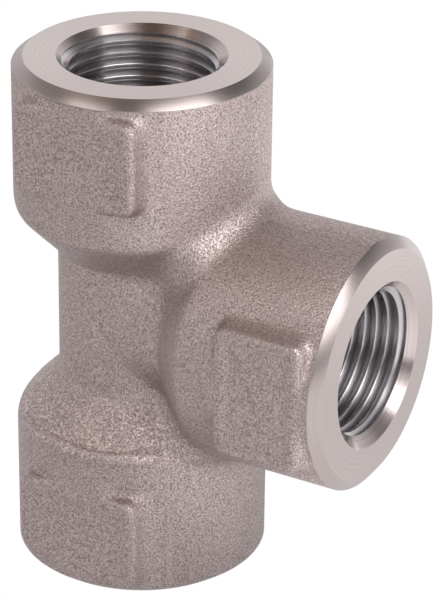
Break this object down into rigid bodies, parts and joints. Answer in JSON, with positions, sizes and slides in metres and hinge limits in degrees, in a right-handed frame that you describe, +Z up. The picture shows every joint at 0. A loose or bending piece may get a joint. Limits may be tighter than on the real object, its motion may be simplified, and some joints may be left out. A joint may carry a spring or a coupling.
{
  "type": "female threaded tee",
  "caption": "Forged pipe tee with an upright run and a side branch, each end a round boss with a machined face, a countersunk mouth and a tapered internal thread.",
  "frame": {"origin": "under the middle of the whole body, on the plane of the lower end face that the tee stands on", "axes": "+Z up along the run, +X out along the branch, +Y across both, square to the wrench pads"},
  "size_m": [0.0448, 0.029, 0.0606],
  "materials": {
    "stainless_steel": "grit-blasted forging with turned end faces and bright threads"
  },
  "bodies": {
    "root": {"tee_body": "stainless_steel"}
  },
  "joints": []
}
